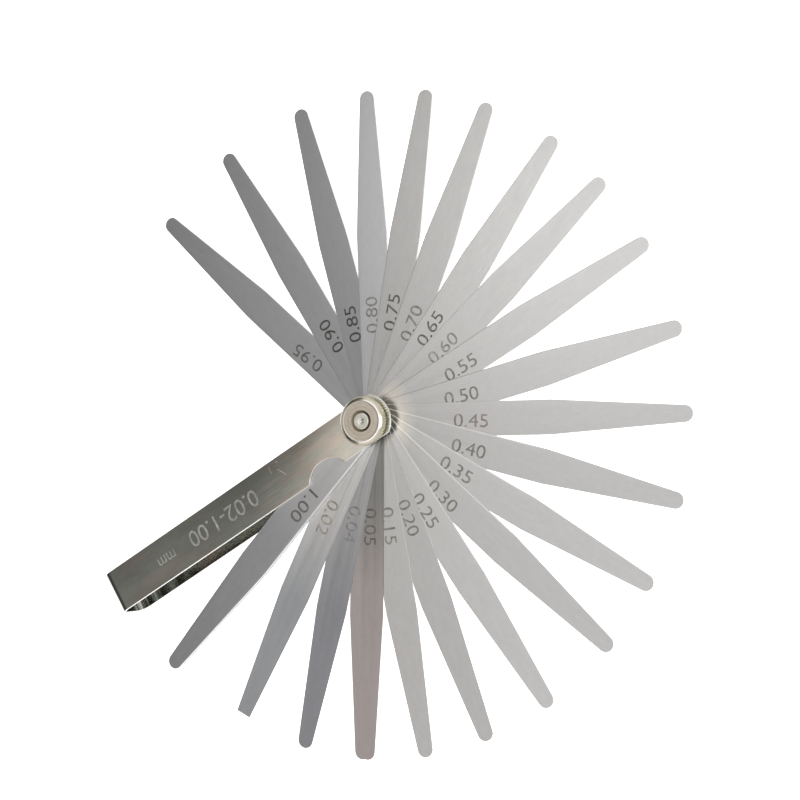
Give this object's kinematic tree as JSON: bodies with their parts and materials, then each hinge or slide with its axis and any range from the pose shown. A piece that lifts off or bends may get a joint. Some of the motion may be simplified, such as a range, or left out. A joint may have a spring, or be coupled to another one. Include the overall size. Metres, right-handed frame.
{
  "type": "feeler gauge",
  "caption": "Feeler gauge: tapered steel measuring leaves fanned out on one pivot screw with a knurled lock nut, folding into a bent sheet-metal case with a thumb notch.",
  "frame": {"origin": "centre of the outer face of the pivot screw's head, on the pivot axis", "axes": "+Z runs along the pivot axis from the screw head to the lock nut; +X runs along the case from the pivot to its closed end; +Y points to the edge with the thumb notch"},
  "size_m": [0.194, 0.1897, 0.0171],
  "materials": {
    "case_nickel": "nickel-plated sheet steel, semi-bright",
    "leaf_steel": "ground spring steel, satin, fine lengthwise grain",
    "screw_steel": "turned steel",
    "washer_steel": "stamped steel",
    "nut_nickel": "turned and knurled, nickel-plated",
    "etched_mark": "dark etched numbers"
  },
  "bodies": {
    "case": {"case": "case_nickel", "pivot_screw": "screw_steel"},
    "washer": {"washer": "washer_steel"},
    "lock_nut": {"lock_nut": "nut_nickel"},
    "leaf_0_95": {"leaf_0_95": "leaf_steel"},
    "leaf_0_90": {"leaf_0_90": "leaf_steel"},
    "leaf_0_85": {"leaf_0_85": "leaf_steel"},
    "leaf_0_80": {"leaf_0_80": "leaf_steel"},
    "leaf_0_75": {"leaf_0_75": "leaf_steel"},
    "leaf_0_70": {"leaf_0_70": "leaf_steel"},
    "leaf_0_65": {"leaf_0_65": "leaf_steel"},
    "leaf_0_60": {"leaf_0_60": "leaf_steel"},
    "leaf_0_55": {"leaf_0_55": "leaf_steel"},
    "leaf_0_50": {"leaf_0_50": "leaf_steel"},
    "leaf_0_45": {"leaf_0_45": "leaf_steel"},
    "leaf_0_40": {"leaf_0_40": "leaf_steel"},
    "leaf_0_35": {"leaf_0_35": "leaf_steel"},
    "leaf_0_30": {"leaf_0_30": "leaf_steel"},
    "leaf_0_25": {"leaf_0_25": "leaf_steel"},
    "leaf_0_20": {"leaf_0_20": "leaf_steel"},
    "leaf_0_15": {"leaf_0_15": "leaf_steel"},
    "leaf_0_10": {"leaf_0_10": "leaf_steel"},
    "leaf_0_05": {"leaf_0_05": "leaf_steel"},
    "leaf_0_04": {"leaf_0_04": "leaf_steel"},
    "leaf_0_03": {"leaf_0_03": "leaf_steel"},
    "leaf_0_02": {"leaf_0_02": "leaf_steel"},
    "leaf_1_00": {"leaf_1_00": "leaf_steel"}
  },
  "joints": [
    {"name": "leaf_0_95_swing", "type": "hinge", "parent": "case", "child": "leaf_0_95", "pos_m": [0, 0, 0.00288], "axis": [0, 0, 1], "range_deg": [-288.8, 71.2]},
    {"name": "leaf_0_90_swing", "type": "hinge", "parent": "case", "child": "leaf_0_90", "pos_m": [0, 0, 0.00382], "axis": [0, 0, 1], "range_deg": [-271.9, 88.1]},
    {"name": "leaf_0_85_swing", "type": "hinge", "parent": "case", "child": "leaf_0_85", "pos_m": [0, 0, 0.0047], "axis": [0, 0, 1], "range_deg": [-255.1, 104.9]},
    {"name": "leaf_0_80_swing", "type": "hinge", "parent": "case", "child": "leaf_0_80", "pos_m": [0, 0, 0.00554], "axis": [0, 0, 1], "range_deg": [-241.4, 118.6]},
    {"name": "leaf_0_75_swing", "type": "hinge", "parent": "case", "child": "leaf_0_75", "pos_m": [0, 0, 0.00632], "axis": [0, 0, 1], "range_deg": [-229.7, 130.3]},
    {"name": "leaf_0_70_swing", "type": "hinge", "parent": "case", "child": "leaf_0_70", "pos_m": [0, 0, 0.00706], "axis": [0, 0, 1], "range_deg": [-217.6, 142.4]},
    {"name": "leaf_0_65_swing", "type": "hinge", "parent": "case", "child": "leaf_0_65", "pos_m": [0, 0, 0.00775], "axis": [0, 0, 1], "range_deg": [-203.7, 156.3]},
    {"name": "leaf_0_60_swing", "type": "hinge", "parent": "case", "child": "leaf_0_60", "pos_m": [0, 0, 0.00838], "axis": [0, 0, 1], "range_deg": [-192.1, 167.9]},
    {"name": "leaf_0_55_swing", "type": "hinge", "parent": "case", "child": "leaf_0_55", "pos_m": [0, 0, 0.00897], "axis": [0, 0, 1], "range_deg": [-179.1, 180.9]},
    {"name": "leaf_0_50_swing", "type": "hinge", "parent": "case", "child": "leaf_0_50", "pos_m": [0, 0, 0.0095], "axis": [0, 0, 1], "range_deg": [-163.9, 196.1]},
    {"name": "leaf_0_45_swing", "type": "hinge", "parent": "case", "child": "leaf_0_45", "pos_m": [0, 0, 0.00999], "axis": [0, 0, 1], "range_deg": [-149.8, 210.2]},
    {"name": "leaf_0_40_swing", "type": "hinge", "parent": "case", "child": "leaf_0_40", "pos_m": [0, 0, 0.01042], "axis": [0, 0, 1], "range_deg": [-135.5, 224.5]},
    {"name": "leaf_0_35_swing", "type": "hinge", "parent": "case", "child": "leaf_0_35", "pos_m": [0, 0, 0.01081], "axis": [0, 0, 1], "range_deg": [-121, 239]},
    {"name": "leaf_0_30_swing", "type": "hinge", "parent": "case", "child": "leaf_0_30", "pos_m": [0, 0, 0.01114], "axis": [0, 0, 1], "range_deg": [-108.6, 251.4]},
    {"name": "leaf_0_25_swing", "type": "hinge", "parent": "case", "child": "leaf_0_25", "pos_m": [0, 0, 0.01142], "axis": [0, 0, 1], "range_deg": [-94.2, 265.8]},
    {"name": "leaf_0_20_swing", "type": "hinge", "parent": "case", "child": "leaf_0_20", "pos_m": [0, 0, 0.01166], "axis": [0, 0, 1], "range_deg": [-81.6, 278.4]},
    {"name": "leaf_0_15_swing", "type": "hinge", "parent": "case", "child": "leaf_0_15", "pos_m": [0, 0, 0.01184], "axis": [0, 0, 1], "range_deg": [-69.9, 290.1]},
    {"name": "leaf_0_10_swing", "type": "hinge", "parent": "case", "child": "leaf_0_10", "pos_m": [0, 0, 0.01198], "axis": [0, 0, 1], "range_deg": [-57.8, 302.2]},
    {"name": "leaf_0_05_swing", "type": "hinge", "parent": "case", "child": "leaf_0_05", "pos_m": [0, 0, 0.01206], "axis": [0, 0, 1], "range_deg": [-58.8, 301.2]},
    {"name": "leaf_0_04_swing", "type": "hinge", "parent": "case", "child": "leaf_0_04", "pos_m": [0, 0, 0.01212], "axis": [0, 0, 1], "range_deg": [-46.5, 313.5]},
    {"name": "leaf_0_03_swing", "type": "hinge", "parent": "case", "child": "leaf_0_03", "pos_m": [0, 0, 0.01217], "axis": [0, 0, 1], "range_deg": [-17, 343]},
    {"name": "leaf_0_02_swing", "type": "hinge", "parent": "case", "child": "leaf_0_02", "pos_m": [0, 0, 0.0122], "axis": [0, 0, 1], "range_deg": [-33.3, 326.7]},
    {"name": "leaf_1_00_swing", "type": "hinge", "parent": "case", "child": "leaf_1_00", "pos_m": [0, 0, 0.01272], "axis": [0, 0, 1], "range_deg": [-16.9, 343.1]},
    {"name": "washer_rise", "type": "slide", "parent": "case", "child": "washer", "axis": [0, 0, 1], "range_m": [0, 0.0008]},
    {"name": "lock_nut_turn", "type": "hinge", "parent": "washer", "child": "lock_nut", "pos_m": [0, 0, 0.01585], "axis": [0, 0, 1], "range_deg": [0, 362]}
  ],
  "couplings": [
    {"joint": "lock_nut_turn", "follows": "washer_rise", "rad_per_m": 7854}
  ]
}
